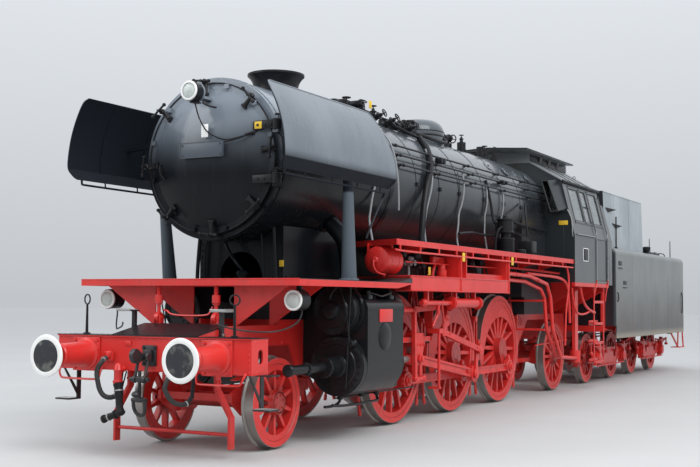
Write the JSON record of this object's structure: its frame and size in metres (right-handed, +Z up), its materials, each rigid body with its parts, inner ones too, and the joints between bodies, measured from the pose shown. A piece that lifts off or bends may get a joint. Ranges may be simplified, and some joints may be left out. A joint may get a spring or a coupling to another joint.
{
  "type": "steam locomotive with tender",
  "caption": "Two-cylinder tender steam locomotive: leading truck, coupled drivers with rods, trailing truck, closed cab, smoke deflectors and a bogie tender.",
  "frame": {"origin": "on the floor under the wheel flanges, below the middle of the length over buffers", "axes": "+X forward towards the smokebox, +Y to the left side, +Z up"},
  "size_m": [21.325, 3.05, 4.5783],
  "materials": {
    "red_frame": "satin bright red frame paint with grime",
    "red_wheels": "satin red wheel paint, dusty",
    "rod_steel": "rods and motion painted red, oily",
    "black_paint": "satin black paint",
    "black_steel": "black forged steel",
    "boiler_black": "satin dark grey boiler paint, streaked brown",
    "deflector_grey": "satin dark grey paint",
    "cab_grey": "satin dark grey cab paint",
    "tender_grey": "satin dark grey paint with vertical rain streaks",
    "hose_rubber": "black rubber",
    "window_glass": "clear window glass"
  },
  "bodies": {
    "locomotive": {"main_frame": "red_frame", "axleboxes": "red_frame", "buffer_beam": "red_frame", "front_buffers": "red_frame", "front_coupling": "black_steel", "front_hoses": "hose_rubber", "front_deck": "red_frame", "running_boards": "red_frame", "valve_gear_beams": "red_frame", "front_steps": "black_paint", "cylinders": "black_paint", "smokebox_saddle": "black_paint", "crossheads": "rod_steel", "slidebars": "rod_steel", "main_rods": "rod_steel", "valve_gear": "rod_steel", "smokebox": "boiler_black", "chimney": "boiler_black", "boiler_barrel": "boiler_black", "steam_dome": "boiler_black", "firebox": "boiler_black", "ashpan": "black_paint", "boiler_carriers": "black_paint", "boiler_fittings": "black_paint", "boiler_rails": "black_paint", "smoke_deflectors": "deflector_grey", "headlamps": "black_paint", "cab_shell": "cab_grey", "cab_roof": "cab_grey", "cab_windows": "window_glass", "cab_floor": "red_frame", "cab_interior": "black_paint", "cab_steps": "red_frame", "air_tanks": "red_frame", "air_pump": "black_paint", "injector_pipes": "red_frame", "brake_gear": "red_frame"},
    "lead_truck": {"lead_truck": "red_frame"},
    "lead_wheelset": {"lead_wheelset": "red_wheels"},
    "trail_truck": {"trail_truck": "red_frame"},
    "trail_wheelset": {"trail_wheelset": "red_wheels"},
    "driver_1": {"driver_1": "red_wheels"},
    "driver_2": {"driver_2": "red_wheels"},
    "driver_3": {"driver_3": "red_wheels"},
    "rods_left": {"coupling_rods_left": "rod_steel"},
    "rods_right": {"coupling_rods_right": "rod_steel"},
    "cab_door_left": {"cab_door_left": "cab_grey"},
    "cab_door_right": {"cab_door_right": "cab_grey"},
    "smokebox_door": {"smokebox_door": "boiler_black"},
    "tender": {"tender_frame": "red_frame", "tender_tank": "tender_grey", "coal_bunker": "tender_grey", "tender_fittings": "black_paint", "rear_drawgear": "red_frame"},
    "bogie_front": {"bogie_front": "red_frame"},
    "bogie_rear": {"bogie_rear": "red_frame"},
    "tender_wheelset_1": {"tender_wheelset_1": "red_wheels"},
    "tender_wheelset_2": {"tender_wheelset_2": "red_wheels"},
    "tender_wheelset_3": {"tender_wheelset_3": "red_wheels"},
    "tender_wheelset_4": {"tender_wheelset_4": "red_wheels"}
  },
  "joints": [
    {"name": "driver_spin", "type": "hinge", "parent": "locomotive", "child": "driver_2", "pos_m": [3.7625, 0, 0.903], "axis": [0, 1, 0], "continuous": true},
    {"name": "driver_1_spin", "type": "hinge", "parent": "locomotive", "child": "driver_1", "pos_m": [5.7625, 0, 0.903], "axis": [0, 1, 0], "continuous": true},
    {"name": "driver_3_spin", "type": "hinge", "parent": "locomotive", "child": "driver_3", "pos_m": [1.7625, 0, 0.903], "axis": [0, 1, 0], "continuous": true},
    {"name": "rods_left_pin", "type": "hinge", "parent": "driver_2", "child": "rods_left", "pos_m": [3.64963, 0.9275, 0.5929], "axis": [0, 1, 0], "continuous": true},
    {"name": "rods_right_pin", "type": "hinge", "parent": "driver_2", "child": "rods_right", "pos_m": [3.4524, -0.9275, 1.01587], "axis": [0, 1, 0], "continuous": true},
    {"name": "lead_truck_swing", "type": "hinge", "parent": "locomotive", "child": "lead_truck", "pos_m": [6.9625, 0, 0.6], "axis": [0, 0, 1], "range_deg": [-3, 3]},
    {"name": "lead_wheels_spin", "type": "hinge", "parent": "lead_truck", "child": "lead_wheelset", "pos_m": [8.7625, 0, 0.528], "axis": [0, 1, 0], "continuous": true},
    {"name": "trail_truck_swing", "type": "hinge", "parent": "locomotive", "child": "trail_truck", "pos_m": [1.0625, 0, 0.6], "axis": [0, 0, 1], "range_deg": [-3, 3]},
    {"name": "trail_wheels_spin", "type": "hinge", "parent": "trail_truck", "child": "trail_wheelset", "pos_m": [-1.1375, 0, 0.653], "axis": [0, 1, 0], "continuous": true},
    {"name": "tender_swing", "type": "hinge", "parent": "locomotive", "child": "tender", "pos_m": [-2.2875, 0, 1.085], "axis": [0, 0, 1], "range_deg": [-6, 6]},
    {"name": "bogie_front_swing", "type": "hinge", "parent": "tender", "child": "bogie_front", "pos_m": [-4.2375, 0, 0.9], "axis": [0, 0, 1], "range_deg": [-5, 5]},
    {"name": "bogie_rear_swing", "type": "hinge", "parent": "tender", "child": "bogie_rear", "pos_m": [-7.9125, 0, 0.9], "axis": [0, 0, 1], "range_deg": [-5, 5]},
    {"name": "tender_wheels_1_spin", "type": "hinge", "parent": "bogie_front", "child": "tender_wheelset_1", "pos_m": [-3.2875, 0, 0.528], "axis": [0, 1, 0], "continuous": true},
    {"name": "tender_wheels_2_spin", "type": "hinge", "parent": "bogie_front", "child": "tender_wheelset_2", "pos_m": [-5.1875, 0, 0.528], "axis": [0, 1, 0], "continuous": true},
    {"name": "tender_wheels_3_spin", "type": "hinge", "parent": "bogie_rear", "child": "tender_wheelset_3", "pos_m": [-6.9625, 0, 0.528], "axis": [0, 1, 0], "continuous": true},
    {"name": "tender_wheels_4_spin", "type": "hinge", "parent": "bogie_rear", "child": "tender_wheelset_4", "pos_m": [-8.8625, 0, 0.528], "axis": [0, 1, 0], "continuous": true},
    {"name": "cab_door_left_hinge", "type": "hinge", "parent": "locomotive", "child": "cab_door_left", "pos_m": [-2.3555, 1.462, 2.5], "axis": [0, 0, 1], "range_deg": [-90, 0]},
    {"name": "cab_door_right_hinge", "type": "hinge", "parent": "locomotive", "child": "cab_door_right", "pos_m": [-2.3555, -1.462, 2.5], "axis": [0, 0, 1], "range_deg": [0, 90]},
    {"name": "smokebox_door_hinge", "type": "hinge", "parent": "locomotive", "child": "smokebox_door", "pos_m": [8.9945, 0.925, 3.345], "axis": [0, 0, 1], "range_deg": [0, 90]}
  ],
  "couplings": [
    {"joint": "driver_1_spin", "follows": "driver_spin", "ratio": 1},
    {"joint": "driver_3_spin", "follows": "driver_spin", "ratio": 1},
    {"joint": "rods_left_pin", "follows": "driver_spin", "ratio": -1},
    {"joint": "rods_right_pin", "follows": "driver_spin", "ratio": -1}
  ]
}
